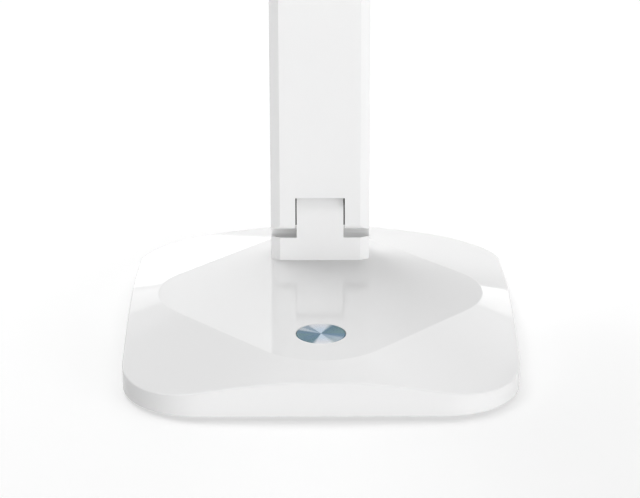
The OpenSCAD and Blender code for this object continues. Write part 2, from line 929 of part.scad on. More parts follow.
module led_board() {
  color("gainsboro")
  translate([0, window_mid_y, led_board_z])
    rounded_plate([window_w - 2 * led_board_in, window_len - 2], board_r, led_board_t);
}

module leds() {
  n = floor((window_len - 2 * led_end_gap) / led_pitch);
  color("lemonchiffon")
  for (i = [0 : n - 1], sx = [-1, 1])
    translate([
      sx * led_row_x - led_size[0] / 2,
      window_mid_y + (i - (n - 1) / 2) * led_pitch - led_size[1] / 2,
      led_board_z - led_size[2]
    ]) cube(led_size);
}

// Tongue of the upper hinge, with the flange that the head shell is screwed to
module head_knuckle() {
  flange_l = flange_front + flange_back;
  color("white")
  difference() {
    union() {
      at_upper_pin() hinge_tongue(head_split_z + eps - pin2_z);
      translate([0, pin_y + flange_back - flange_l / 2, head_split_z])
        rounded_plate([flange_w, flange_l], flange_r, flange_t);
    }
    at_upper_pin() x_cylinder(bolt_d / 2 + run_gap, -tongue_w, tongue_w);
    lead_bore(pin2_z - stem_t, head_z + head_t);
    at_head(knuckle_screw_at) screw_bore(flat_screw, head_split_z - cut, head_roof_z);
  }
}

module knuckle_screws() {
  color("silver")
  at_head(knuckle_screw_at)
    translate([0, 0, head_split_z])
      screw(flat_screw, head_roof_z - tip_clearance - head_split_z);
}

module bezel_screws() {
  color("silver")
  at_head(bezel_screw_at)
    translate([0, 0, bezel_screw_z]) screw(
      [shell_screw[0], shell_screw[1], bezel_screw_z - head_z - lip_gap],
      head_roof_z - tip_clearance - bezel_screw_z
    );
}

module head_lead() {
  z = led_board_z - lead_r - lead_gap;
  color("firebrick")
  lead([
    [-lead_x, lead_y, pin2_z - lead_end], [-lead_x, lead_y, z],
    [-lead_x, pin_y - window_pin_margin - 2 * lead_d, z]
  ]);
}

base_cover();
base_bottom();
anti_slip_pad();
counterweight();
weight_screws();
base_screws();
hinge_block();
hinge_mount_plate();
hinge_block_screws();
touch_key();
touch_foam();
control_board();
board_chips();
board_screws();
usb_board();
usb_socket();
battery_pack();
base_leads();
stem_front();
stem_rear();
stem_screws();
stem_lead();
lower_hinge_bolt();
lower_hinge_nut();
lower_spring_washer();
lower_friction_washers();
upper_hinge_bolt();
upper_hinge_nut();
upper_spring_washer();
upper_friction_washers();
head_shell();
head_bezel();
diffuser();
led_board();
leds();
head_knuckle();
knuckle_screws();
bezel_screws();
head_lead();
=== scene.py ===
"""Folding desk lamp: finishes, edges and small details around the fixed frame of its parts."""
import json
import math

import bmesh
import bpy
from mathutils import Matrix, Vector


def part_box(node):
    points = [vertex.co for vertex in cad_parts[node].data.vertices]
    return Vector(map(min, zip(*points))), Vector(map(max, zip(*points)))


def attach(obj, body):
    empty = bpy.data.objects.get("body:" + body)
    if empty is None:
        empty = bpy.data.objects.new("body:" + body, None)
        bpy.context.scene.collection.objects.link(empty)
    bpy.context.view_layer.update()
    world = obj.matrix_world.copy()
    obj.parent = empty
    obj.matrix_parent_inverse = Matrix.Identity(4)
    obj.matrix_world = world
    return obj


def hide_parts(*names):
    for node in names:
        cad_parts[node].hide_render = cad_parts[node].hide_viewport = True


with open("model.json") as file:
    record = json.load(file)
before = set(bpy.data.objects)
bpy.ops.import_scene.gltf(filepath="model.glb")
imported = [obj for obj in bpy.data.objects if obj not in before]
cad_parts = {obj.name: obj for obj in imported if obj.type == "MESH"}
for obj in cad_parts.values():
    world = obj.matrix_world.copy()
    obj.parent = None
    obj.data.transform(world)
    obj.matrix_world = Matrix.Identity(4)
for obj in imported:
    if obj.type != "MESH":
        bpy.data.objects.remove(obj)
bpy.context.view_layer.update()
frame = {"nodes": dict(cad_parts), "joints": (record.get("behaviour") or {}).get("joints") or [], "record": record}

MM = 0.001
NODES = frame["nodes"]


# ---------------------------------------------------------------- sizes

def joint_place(name):
    """Where a joint's axis runs."""
    place = next(joint["pos_m"] for joint in frame["joints"] if joint["name"] == name)
    return Vector(place)


LOWER_PIN = joint_place("stem_fold")
UPPER_PIN = joint_place("head_tilt")

COVER_LOW, COVER_HIGH = (Vector(corner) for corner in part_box("base_cover"))
KEY_LOW, KEY_HIGH = (Vector(corner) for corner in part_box("touch_key"))
STEM_LOW, STEM_HIGH = (Vector(corner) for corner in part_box("stem_front"))
SOCKET_LOW, SOCKET_HIGH = (Vector(corner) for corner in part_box("usb_socket"))
HEAD_LOW, HEAD_HIGH = (Vector(corner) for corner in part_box("head_shell"))

WALL = 2.2 * MM                  # thickness of the base cover
CORNER_R = 30 * MM               # corners of the base, seen from above
FACET_R = 29 * MM                # corners of the flat facet
FACET_SIDE = 11 * MM             # from the facet to the sides of the base
FACET_FRONT = 13.3 * MM
FACET_REAR = 18.7 * MM
SLOPE = math.tan(math.radians(12.5))
KEY_GAP = 0.15 * MM              # around the touch key
KEY_LEDGE = 2.4 * MM             # under its rim
STEM_WALL = 1.8 * MM
HEAD_WALL = 1.8 * MM


# ---------------------------------------------------------------- shader expressions

class Value:
    """A shader socket that can be used in arithmetic: each operator adds one Math node."""

    def __init__(self, graph, socket):
        self.graph = graph
        self.socket = socket

    def __add__(self, other):
        return self.graph.math("ADD", self, other)

    def __sub__(self, other):
        return self.graph.math("SUBTRACT", self, other)

    def __rsub__(self, other):
        return self.graph.math("SUBTRACT", other, self)

    def __mul__(self, other):
        return self.graph.math("MULTIPLY", self, other)

    def __truediv__(self, other):
        return self.graph.math("DIVIDE", self, other)

    def __pow__(self, other):
        return self.graph.math("POWER", self, other)

    def clamped(self):
        return self.graph.node("ShaderNodeClamp", inputs={"Value": self})

    def between(self, low, high):
        """0 below low, 1 above high, and smooth between them."""
        return self.graph.node(
            "ShaderNodeMapRange", {"interpolation_type": "SMOOTHSTEP"},
            {"Value": self, "From Min": low, "From Max": high},
        )


class Graph:
    """A node tree, with short calls for its nodes."""

    def __init__(self, tree):
        self.tree = tree
        tree.nodes.clear()

    def node(self, kind, settings=None, inputs=None, out=0):
        """Adds a node: its settings are set first, then its inputs, and one output comes back."""
        made = self.tree.nodes.new(kind)
        for name, value in (settings or {}).items():
            if name == "stops":
                self.set_stops(made.color_ramp, value)
            else:
                setattr(made, name, value)
        for name, value in (inputs or {}).items():
            self.feed(made.inputs[name], value)
        return Value(self, made.outputs[out]) if made.outputs else None

    @staticmethod
    def set_stops(ramp, stops):
        while len(ramp.elements) < len(stops):
            ramp.elements.new(1.0)
        for element, (position, colour) in zip(ramp.elements, stops):
            element.position = position
            element.color = (*colour, 1.0)

    def feed(self, socket, value):
        if isinstance(value, Value):
            self.tree.links.new(value.socket, socket)
        elif socket.type == "RGBA" and len(value) == 3:
            socket.default_value = (*value, 1.0)
        else:
            socket.default_value = value

    def math(self, operation, first, second):
        return self.node("ShaderNodeMath", {"operation": operation}, {0: first, 1: second})

    def mix(self, factor, first, second):
        """A colour between two colours."""
        return self.node(
            "ShaderNodeMix", {"data_type": "RGBA"}, {0: factor, 6: first, 7: second}, out=2
        )

    def place(self, scale=(1, 1, 1), centre=(0, 0, 0)):
        """Object coordinates round a centre, scaled."""
        spot = self.node("ShaderNodeTexCoord", out=3)
        moved = self.node(
            "ShaderNodeVectorMath", {"operation": "SUBTRACT"}, {0: spot, 1: tuple(centre)}
        )
        return self.node(
            "ShaderNodeMapping", {"vector_type": "POINT"},
            {"Vector": moved, "Scale": scale},
        )

    def axis(self, vector, index):
        return self.node("ShaderNodeSeparateXYZ", inputs={0: vector}, out=index)

    def noise(self, vector, scale, detail=2.0, rough=0.5):
        return self.node(
            "ShaderNodeTexNoise", inputs={
                "Vector": vector, "Scale": scale, "Detail": detail, "Roughness": rough,
            },
        )

    def bump(self, height, distance, strength):
        return self.node(
            "ShaderNodeBump", inputs={"Height": height, "Distance": distance, "Strength": strength}
        )


def material(name, inputs, graph_of=None):
    """A Principled material: fixed values are set on its sockets, and graph_of adds the rest."""
    made = bpy.data.materials.new(name)
    made.use_nodes = True
    graph = Graph(made.node_tree)
    inputs = dict(inputs)
    if graph_of:
        inputs.update(graph_of(graph))
    shader = graph.node("ShaderNodeBsdfPrincipled", inputs=inputs)
    graph.node("ShaderNodeOutputMaterial", inputs={"Surface": shader})
    return made


# ---------------------------------------------------------------- materials

def glossy_white(name, colour):
    """Polished injection-moulded plastic: a clear gloss over a faintly uneven skin."""
    def graph_of(g):
        place = g.place()
        flow = g.noise(place, 22.0, 2.0)
        skin = g.noise(place, 900.0, 1.0)
        tone = flow * 0.3 + skin * 0.05
        darker = tuple(c * 0.985 for c in colour)
        return {
            "Base Color": g.mix(tone.clamped(), colour, darker),
            "Roughness": flow * 0.03 + 0.045,
            "Normal": g.bump(flow, 0.02 * MM, 0.25),
        }
    return material(name, {"IOR": 1.5, "Coat Roughness": 0.03}, graph_of)


def grained_plastic(name, colour):
    """Matte plastic with a fine etched grain."""
    def graph_of(g):
        grain = g.noise(g.place(), 2400.0, 3.0, 0.6)
        return {
            "Base Color": g.mix(grain, colour, tuple(c * 0.93 for c in colour)),
            "Roughness": grain * 0.2 + 0.45,
            "Normal": g.bump(grain, 0.05 * MM, 0.5),
        }
    return material(name, {"IOR": 1.48}, graph_of)


def dimpled_rubber(name, colour):
    """Rubber sheet with rows of small round dimples."""
    def graph_of(g):
        cells = g.node(
            "ShaderNodeTexVoronoi", {"feature": "F1"},
            {"Vector": g.place(), "Scale": 520.0, "Randomness": 0.0},
        )
        dimple = cells.between(0.15, 0.42)
        dust = g.noise(g.place(), 160.0, 3.0)
        return {
            "Base Color": g.mix(dust * 0.5, colour, tuple(c * 1.15 for c in colour)),
            "Roughness": dust * 0.15 + 0.72,
            "Normal": g.bump(dimple, 0.15 * MM, 0.7),
        }
    return material(name, {"IOR": 1.45}, graph_of)


def rolled_steel(name, colour, rough=0.32):
    """Steel with streaks along one direction and a little mottling."""
    def graph_of(g):
        streak = g.noise(g.place(scale=(0.04, 1, 1)), 900.0, 3.0)
        mottle = g.noise(g.place(), 60.0, 2.0)
        return {
            "Base Color": g.mix(mottle, colour, tuple(c * 0.78 for c in colour)),
            "Roughness": streak * 0.2 + rough,
            "Normal": g.bump(streak, 0.02 * MM, 0.4),
        }
    return material(name, {"Metallic": 1.0}, graph_of)


def plated(name, colour, rough=0.2):
    """Bright plating with a fine satin grain."""
    def graph_of(g):
        grain = g.noise(g.place(), 1500.0, 2.0)
        cloud = g.noise(g.place(), 130.0, 2.0)
        return {
            "Base Color": g.mix(cloud, colour, tuple(c * 0.86 for c in colour)),
            "Roughness": grain * 0.12 + rough,
        }
    return material(name, {"Metallic": 1.0}, graph_of)


def spun_metal(name, painted_highlight_inner, pale, blue, green):
    """Metal turned on a lathe: rings round the key's centre. Its colour holds a painted reflection that goes round
    with them: a painted dark reflection deep in two wide wedges at the sides, and a painted highlight in front and
    behind. The painted dark reflection goes from a bluer to a greener hue outwards, the painted highlight fades
    towards the rim."""
    centre = (KEY_LOW + KEY_HIGH) / 2
    outer = (KEY_HIGH.x - KEY_LOW.x) / 2
    painted_reflection_wedges = (                      # middle and half width in turns, softness, and depth: how strongly the painted dark reflection covers it
        (0.060, 0.122, 0.028, 1.0),
        (0.574, 0.130, 0.020, 1.0),
        (0.885, 0.056, 0.026, 0.62),
        (0.362, 0.026, 0.014, 0.7),
        (0.420, 0.034, 0.014, 0.35),
    )

    def graph_of(g):
        spot = g.place(centre=centre)
        across = g.axis(spot, 0)
        along = g.axis(spot, 1)
        turn = g.math("ARCTAN2", along, across) / (2 * math.pi)
        radius = (across ** 2 + along ** 2) ** 0.5
        # depth gathers the mask of the painted dark reflection, wedge by wedge
        depth = 0.0
        for middle, half, soft, weight in painted_reflection_wedges:
            away = g.node(
                "ShaderNodeMath", {"operation": "WRAP"}, {0: turn - middle, 1: 0.5, 2: -0.5}
            )
            inside = 1 - g.math("ABSOLUTE", away, 0.0).between(half - soft, half + soft)
            depth = inside * weight + depth
        ring = g.node(
            "ShaderNodeTexNoise", {"noise_dimensions": "1D"},
            {"W": radius, "Scale": 9000.0, "Detail": 3.0},
        )
        drift = g.node(
            "ShaderNodeTexNoise", {"noise_dimensions": "1D"},
            {"W": turn, "Scale": 7.0, "Detail": 2.0},
        )
        share = radius * (1 / outer)
        hue = drift.between(0.35, 0.65) * 0.45 + share * 0.35
        # deep is the painted dark reflection's colour, light the painted highlight's, and flat the two mixed by
        # the wedges
        deep = g.mix(hue, blue, green)
        light = g.mix(share.between(0.3, 1.0), painted_highlight_inner, pale)
        flat = g.mix(depth.clamped(), light, deep)
        # the turned rings' noise tints it a little, over the painted reflection
        ringed_painted_sheen = g.mix(ring * 0.14, flat, blue)
        return {
            "Base Color": ringed_painted_sheen,
            "Roughness": ring * 0.12 + 0.14,
        }
    return material(name, {"Metallic": 1.0}, graph_of)


def soft_foam(name, colour):
    """Open foam with small pores."""
    def graph_of(g):
        pores = g.noise(g.place(), 2600.0, 4.0, 0.7)
        return {
            "Base Color": g.mix(pores, colour, tuple(c * 2.2 for c in colour)),
            "Roughness": pores * 0.1 + 0.85,
            "Normal": g.bump(pores, 0.2 * MM, 0.8),
        }
    return material(name, {"IOR": 1.4}, graph_of)


def solder_mask(name, colour, trace):
    """A board's lacquer over its traces."""
    def graph_of(g):
        lines = g.node(
            "ShaderNodeTexBrick", {"offset": 0.5, "squash": 1.0},
            {"Vector": g.place(), "Scale": 260.0, "Mortar Size": 0.09, "Mortar Smooth": 0.2},
            out=1,
        )
        wobble = g.noise(g.place(), 500.0, 2.0)
        return {
            "Base Color": g.mix(lines, colour, trace),
            "Roughness": wobble * 0.1 + 0.3,
            "Normal": g.bump(lines, 0.035 * MM, 0.6),
        }
    return material(name, {"IOR": 1.5}, graph_of)


def moulded_chip(name, colour):
    """Black moulding compound with a sanded look."""
    def graph_of(g):
        sand = g.noise(g.place(), 5200.0, 2.0, 0.7)
        return {
            "Base Color": g.mix(sand, colour, tuple(c * 1.8 for c in colour)),
            "Roughness": sand * 0.15 + 0.5,
            "Normal": g.bump(sand, 0.02 * MM, 0.6),
        }
    return material(name, {"IOR": 1.5}, graph_of)


def shrink_film(name, colour):
    """Thin film pulled tight round a battery, with shallow creases."""
    def graph_of(g):
        crease = g.noise(g.place(scale=(0.3, 1.4, 1)), 140.0, 4.0, 0.6)
        return {
            "Base Color": g.mix(crease, colour, tuple(c * 0.8 for c in colour)),
            "Roughness": crease * 0.15 + 0.2,
            "Normal": g.bump(crease, 0.3 * MM, 0.4),
        }
    return material(name, {"IOR": 1.5, "Coat Weight": 0.3, "Coat Roughness": 0.1}, graph_of)


def opal_sheet(name, colour):
    """Light-spreading sheet with fine prisms across it."""
    def graph_of(g):
        spot = g.place()
        prism = g.node(
            "ShaderNodeTexWave", {"wave_type": "BANDS", "bands_direction": "Y"},
            {"Vector": spot, "Scale": 420.0, "Distortion": 0.0},
        )
        cloud = g.noise(spot, 35.0, 2.0)
        return {
            "Base Color": g.mix(cloud, colour, tuple(c * 0.97 for c in colour)),
            "Roughness": cloud * 0.08 + 0.34,
            "Normal": g.bump(prism, 0.04 * MM, 0.5),
        }
    return material(name, {"IOR": 1.49}, graph_of)


def phosphor(name, colour):
    """Yellow phosphor under clear silicone."""
    def graph_of(g):
        grain = g.noise(g.place(), 3800.0, 3.0)
        return {
            "Base Color": g.mix(grain, colour, tuple(c * 0.88 for c in colour)),
            "Roughness": grain * 0.08 + 0.16,
        }
    return material(name, {"IOR": 1.42, "Coat Weight": 0.4}, graph_of)


FINISH = {
    "white_shell": glossy_white("white_shell", (0.80, 0.80, 0.801)),
    "bottom_plate": grained_plastic("bottom_plate", (0.80, 0.80, 0.80)),
    "pad_rubber": dimpled_rubber("pad_rubber", (0.36, 0.365, 0.37)),
    "steel_plate": rolled_steel("steel_plate", (0.42, 0.42, 0.43)),
    "zinc_screws": plated("zinc_screws", (0.62, 0.63, 0.66)),
    "spring_steel": rolled_steel("spring_steel", (0.30, 0.30, 0.31), 0.25),
    # near-black, so the washers' widened rims paint shade into the slits beside the hinge tongues
    "washer_plastic": grained_plastic("washer_plastic", (0.035, 0.035, 0.037)),
    # colours of the painted highlight, at the centre and at the rim, and of the painted dark reflection
    "spun_metal": spun_metal(
        "spun_metal", painted_highlight_inner=(0.64, 0.75, 0.86), pale=(0.82, 0.83, 0.86),
        blue=(0.115, 0.21, 0.34), green=(0.15, 0.27, 0.26),
    ),
    "foam": soft_foam("foam", (0.03, 0.03, 0.03)),
    "circuit_board": solder_mask("circuit_board", (0.02, 0.16, 0.07), (0.05, 0.30, 0.13)),
    "chips": moulded_chip("chips", (0.02, 0.02, 0.021)),
    "socket_steel": plated("socket_steel", (0.66, 0.66, 0.68), 0.16),
    "battery_film": shrink_film("battery_film", (0.06, 0.20, 0.42)),
    "lead_jacket": grained_plastic("lead_jacket", (0.62, 0.62, 0.62)),
    "diffuser": opal_sheet("diffuser", (0.87, 0.875, 0.86)),
    "white_board": grained_plastic("white_board", (0.82, 0.82, 0.80)),
    "led_phosphor": phosphor("led_phosphor", (0.80, 0.62, 0.10)),
}


def paint(piece, slot):
    piece.data.materials.clear()
    piece.data.materials.append(FINISH[slot])


def node_slots():
    return {sub["node"]: sub["material_slot"] for sub in frame["record"]["subparts"]}


def node_bodies():
    bodies = frame["record"]["behaviour"]["bodies"]
    return {node: body for body, members in bodies.items() for node in members}


SLOT_OF = node_slots()
BODY_OF = node_bodies()


# ---------------------------------------------------------------- mesh helpers

MERGE = 1e-6                     # points closer than this are one point
EASE_SEGMENTS = 3                # faces across an eased edge
EASE_BEND = math.radians(20.0)   # an edge is eased where its faces bend by at least this
FLAT_BEND = math.radians(0.5)    # faces that bend less than this are joined first


def mesh_of(work, name):
    """Turns a finished bmesh into a mesh."""
    mesh = bpy.data.meshes.new(name)
    work.to_mesh(mesh)
    work.free()
    return mesh


def new_piece(name, mesh):
    piece = bpy.data.objects.new(name, mesh)
    bpy.context.scene.collection.objects.link(piece)
    return piece


def dress(piece, node):
    """The piece stands for a node, in its finish, on its body."""
    paint(piece, SLOT_OF[node])
    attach(piece, BODY_OF[node])
    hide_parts(node)
    return piece


def cut_away(piece, mesh):
    """Takes a closed mesh away from a piece."""
    cutter = new_piece("cutter", mesh)
    cut = piece.modifiers.new("cut", "BOOLEAN")
    cut.operation = "DIFFERENCE"
    cut.solver = "EXACT"
    cut.object = cutter
    settle(piece)
    bpy.data.objects.remove(cutter)


def settle(piece):
    """Turns a piece's modifiers into plain mesh."""
    evaluated = piece.evaluated_get(bpy.context.evaluated_depsgraph_get())
    mesh = bpy.data.meshes.new_from_object(evaluated)
    old = piece.data
    piece.modifiers.clear()
    piece.data = mesh
    bpy.data.meshes.remove(old)
    return piece


def smooth(mesh, sharp_from=35.0):
    mesh.shade_smooth()
    mesh.set_sharp_from_angle(angle=math.radians(sharp_from))


def eased_copy(node, width, shown):
    """A copy of a node with its outer edges eased. shown says by an edge's middle whether the edge
    can be seen."""
    work = bmesh.new()
    work.from_mesh(NODES[node].data)
    bmesh.ops.remove_doubles(work, verts=work.verts, dist=MERGE)
    bmesh.ops.dissolve_limit(work, angle_limit=FLAT_BEND, verts=work.verts, edges=work.edges)
    edges = []
    for edge in work.edges:
        if len(edge.link_faces) != 2 or edge.calc_face_angle_signed(0.0) < EASE_BEND:
            continue
        if shown((edge.verts[0].co + edge.verts[1].co) / 2):
            edges.append(edge)
    bmesh.ops.bevel(
        work, geom=edges, offset=width, segments=EASE_SEGMENTS, profile=0.5, affect="EDGES",
        clamp_overlap=True, loop_slide=True,
    )
    mesh = mesh_of(work, node)
    smooth(mesh, 30.0)
    piece = new_piece(node + "_shell", mesh)
    weights = piece.modifiers.new("even_normals", "WEIGHTED_NORMAL")
    weights.keep_sharp = True
    weights.weight = 90
    return dress(settle(piece), node)


# ---------------------------------------------------------------- base cover

HALF_W = COVER_HIGH.x
HALF_L = COVER_HIGH.y
TOP_Z = COVER_HIGH.z
FOOT_Z = COVER_LOW.z
FACET_Y = (FACET_FRONT - FACET_REAR) / 2
CORE_X = HALF_W - FACET_SIDE - FACET_R
CORE_Y = HALF_L - (FACET_FRONT + FACET_REAR) / 2 - FACET_R


ARC_STEPS = 44                   # columns round each corner of the facet
SIDE_STEPS = 40                  # and along each of its sides


def facet_columns():
    """Points of the facet's diamond core and the direction outwards at each, all the way round."""
    lean = math.atan2(CORE_X, CORE_Y)
    corners = [
        (Vector((CORE_X, 0)), -lean, lean),
        (Vector((0, CORE_Y)), lean, math.pi - lean),
        (Vector((-CORE_X, 0)), math.pi - lean, math.pi + lean),
        (Vector((0, -CORE_Y)), math.pi + lean, 2 * math.pi - lean),
    ]
    columns = []
    for index, (corner, start, end) in enumerate(corners):
        for step in range(ARC_STEPS):
            angle = start + (end - start) * step / ARC_STEPS
            columns.append((corner, Vector((math.cos(angle), math.sin(angle)))))
        out = Vector((math.cos(end), math.sin(end)))
        following = corners[(index + 1) % 4][0]
        for step in range(SIDE_STEPS):
            columns.append((corner.lerp(following, step / SIDE_STEPS), out))
    return [(core + Vector((0, FACET_Y)), out) for core, out in columns]


def reach(core, out, inset):
    """How far it is from a core point to the base's outline, moved inwards by inset."""
    half = Vector((HALF_W - inset, HALF_L - inset))
    radius = CORNER_R - inset
    ways = [
        (math.copysign(half[i], out[i]) - core[i]) / out[i] for i in (0, 1) if abs(out[i]) > 1e-9
    ]
    far = min(ways)
    spot = core + out * far
    centre = Vector(
        (math.copysign(half.x - radius, spot.x), math.copysign(half.y - radius, spot.y))
    )
    if abs(spot.x) <= half.x - radius or abs(spot.y) <= half.y - radius:
        return far
    away = core - centre
    along = away.dot(out)
    return -along + math.sqrt(along * along - away.length_squared + radius * radius)


def cover_row(columns, distance_of, height_of):
    """One ring of points round the cover."""
    row = []
    for core, out in columns:
        far = distance_of(core, out)
        spot = core + out * far
        row.append(Vector((spot.x, spot.y, height_of(far))))
    return row


def slope_height(top):
    return lambda far: top - SLOPE * max(0.0, far - FACET_R)


def cover_rows(columns):
    """The rings of the cover's skin, from the edge of the flat facet outwards, down the wall, round
    its foot, and back along the inside to the edge of the ceiling."""
    crest_r = 3.2 * MM                                # radius of the facet's eased edge
    crest = crest_r * math.tan(math.atan(SLOPE) / 2)  # half of that edge's width
    lip = 0.5 * MM                                    # radius of the wall's upper edge
    foot = 0.2 * MM                                   # radius of the wall's lower edge
    beside_crest = 0.6 * MM                           # plain rings beside the eased edges
    beside_lip = 0.5 * MM
    on_wall = 0.4 * MM
    crest_steps = 6
    slope_steps = 8
    lip_steps = 8
    foot_steps = 4
    outer = slope_height(TOP_Z)
    inner = slope_height(TOP_Z - WALL)
    rows = []

    def at_facet(offset, height):
        rows.append(cover_row(columns, lambda core, out: FACET_R + offset, height))

    def at_wall(inset, height):
        rows.append(cover_row(columns, lambda core, out: reach(core, out, inset), height))

    at_facet(-crest - beside_crest, outer)
    for step in range(crest_steps + 1):
        offset = crest * (2 * step / crest_steps - 1)
        drop = SLOPE * (offset + crest) ** 2 / (4 * crest)
        at_facet(offset, lambda far, drop=drop: TOP_Z - drop)
    at_facet(crest + beside_crest, outer)
    for step in range(1, slope_steps):
        share = step / slope_steps
        rows.append(cover_row(
            columns,
            lambda core, out: (1 - share) * (FACET_R + crest) + share * reach(core, out, lip),
            outer,
        ))
    at_wall(lip + beside_lip, outer)
    for step in range(lip_steps + 1):
        turn = math.pi / 2 * step / lip_steps
        inset = lip * (1 - math.sin(turn))
        drop = lip * (1 - math.cos(turn))
        at_wall(inset, lambda far, drop=drop: outer(far) - drop)
    at_wall(0, lambda far: outer(far) - lip - on_wall)
    at_wall(0, lambda far: FOOT_Z + foot + on_wall)
    for step in range(foot_steps + 1):
        turn = math.pi / 2 * step / foot_steps
        inset = foot * (1 - math.cos(turn))
        rise = foot * (1 - math.sin(turn))
        at_wall(inset, lambda far, rise=rise: FOOT_Z + rise)
    at_wall(WALL, lambda far: FOOT_Z)
    at_wall(WALL, inner)
    at_facet(0, inner)
    return rows


def ring_band(work, lower, upper):
    for index in range(len(lower)):
        after = (index + 1) % len(lower)
        work.faces.new((lower[index], lower[after], upper[after], upper[index]))


def circle(work, centre, radius, height, count=128):
    return [
        work.verts.new((
            centre.x + radius * math.cos(2 * math.pi * step / count),
            centre.y + radius * math.sin(2 * math.pi * step / count), height,
        )) for step in range(count)
    ]


def rim_edges(ring):
    edges = []
    for index, vertex in enumerate(ring):
        following = ring[(index + 1) % len(ring)]
        edges.append(next(e for e in vertex.link_edges if e.other_vert(vertex) is following))
    return edges


def base_cover():
    """The whole skin of the cover as one closed mesh, with the touch key's stepped seat. It leaves
    out the bosses inside, and the bores for the lead and the screws under the hinge block."""
    columns = facet_columns()
    work = bmesh.new()
    rings = [[work.verts.new(point) for point in row] for row in cover_rows(columns)]
    for lower, upper in zip(rings, rings[1:]):
        ring_band(work, upper, lower)
    centre = (KEY_LOW + KEY_HIGH) / 2
    seat_r = (KEY_HIGH.x - KEY_LOW.x) / 2 + KEY_GAP
    ease = 0.12 * MM
    hole_r = seat_r - KEY_GAP - KEY_LEDGE
    seat = [
        circle(work, centre, seat_r + ease * 3, TOP_Z),
        circle(work, centre, seat_r + ease, TOP_Z),
        circle(work, centre, seat_r, TOP_Z - ease),
        circle(work, centre, seat_r, KEY_LOW.z),
        circle(work, centre, hole_r, KEY_LOW.z),
        circle(work, centre, hole_r, TOP_Z - WALL),
    ]
    for lower, upper in zip(seat, seat[1:]):
        ring_band(work, lower, upper)
    for edge_ring, hole_ring in ((rings[0], seat[0]), (rings[-1], seat[-1])):
        bmesh.ops.triangle_fill(
            work, use_beauty=True, edges=rim_edges(edge_ring) + rim_edges(hole_ring)
        )
    bmesh.ops.recalc_face_normals(work, faces=work.faces)
    mesh = mesh_of(work, "base_cover_skin")
    piece = new_piece("base_cover_shell", mesh)
    cut_socket_slot(piece)
    smooth(piece.data, 30.0)
    return dress(piece, "base_cover")


def cut_socket_slot(piece):
    """The slot in the rear wall that the charging plug goes through."""
    gap = 0.2 * MM
    half_h = (SOCKET_HIGH.z - SOCKET_LOW.z) / 2 + gap
    half_w = (SOCKET_HIGH.x - SOCKET_LOW.x) / 2 + gap - half_h
    middle_z = (SOCKET_HIGH.z + SOCKET_LOW.z) / 2
    steps = 16
    outline = []
    for side in (1, -1):
        for step in range(steps + 1):
            turn = math.pi * (step / steps - 0.5) + (0 if side > 0 else math.pi)
            outline.append((side * half_w + half_h * math.cos(turn), half_h * math.sin(turn)))
    work = bmesh.new()
    rings = [
        [work.verts.new((x, y, middle_z + z)) for x, z in outline]
        for y in (HALF_L - 2 * WALL, HALF_L + WALL)
    ]
    ring_band(work, rings[0], rings[1])
    work.faces.new(rings[0])
    work.faces.new(rings[1])
    bmesh.ops.recalc_face_normals(work, faces=work.faces)
    cut_away(piece, mesh_of(work, "slot_cutter"))


# ---------------------------------------------------------------- touch key

def touch_key():
    """A turned disc: fine waves in rings, from a small flat centre to a polished rim."""
    centre = (KEY_LOW + KEY_HIGH) / 2
    radius = (KEY_HIGH.x - KEY_LOW.x) / 2
    rim = 0.55 * MM
    chamfer = 0.25 * MM
    ring_n = 36
    depth = 0.03 * MM
    sides = 144
    pitch = (radius - rim) / ring_n
    profile = [(radius, KEY_LOW.z), (radius, TOP_Z - chamfer), (radius - chamfer, TOP_Z)]
    for step in range(4 * ring_n):
        wave = (1 - math.cos(math.pi / 2 * step)) / 2
        profile.append((radius - rim - step * pitch / 4, TOP_Z - depth * wave))
    work = bmesh.new()
    rings = [circle(work, centre, r, z, sides) for r, z in profile]
    for lower, upper in zip(rings, rings[1:]):
        ring_band(work, lower, upper)
    work.faces.new(rings[-1])
    work.faces.new(rings[0])
    bmesh.ops.recalc_face_normals(work, faces=work.faces)
    mesh = mesh_of(work, "touch_key_disc")
    smooth(mesh, 44.0)
    return dress(new_piece("touch_key_disc", mesh), "touch_key")


# ---------------------------------------------------------------- shells with eased edges

SKIN = 0.9                       # an edge this share of the wall or nearer is an outer edge


def outside_stem(spot):
    """True on the stem's outer faces and in its notches, False inside its hollow."""
    across = abs(spot.x)
    deep = abs(spot.y - LOWER_PIN.y)
    half_t = LOWER_PIN.y - STEM_LOW.y
    return across > STEM_HIGH.x - STEM_WALL * SKIN or deep > half_t - STEM_WALL * SKIN


def everywhere(spot):
    return True


def outside_head(spot):
    """True on the head's outer faces, False in its hollow."""
    across = HEAD_HIGH.x - abs(spot.x)
    along = min(spot.y - HEAD_LOW.y, HEAD_HIGH.y - spot.y)
    near_top = 0.2 * MM
    return min(across, along) < HEAD_WALL * SKIN or spot.z > HEAD_HIGH.z - near_top


EASED = (                        # node, width of its eased edges in mm, which edges
    ("stem_front", 0.3, outside_stem),
    ("stem_rear", 0.3, outside_stem),
    ("hinge_block", 0.3, everywhere),
    ("head_shell", 0.3, outside_head),
    ("head_bezel", 0.25, everywhere),
    ("head_knuckle", 0.25, everywhere),
)


def eased_shells():
    for node, width, shown in EASED:
        eased_copy(node, width * MM, shown)


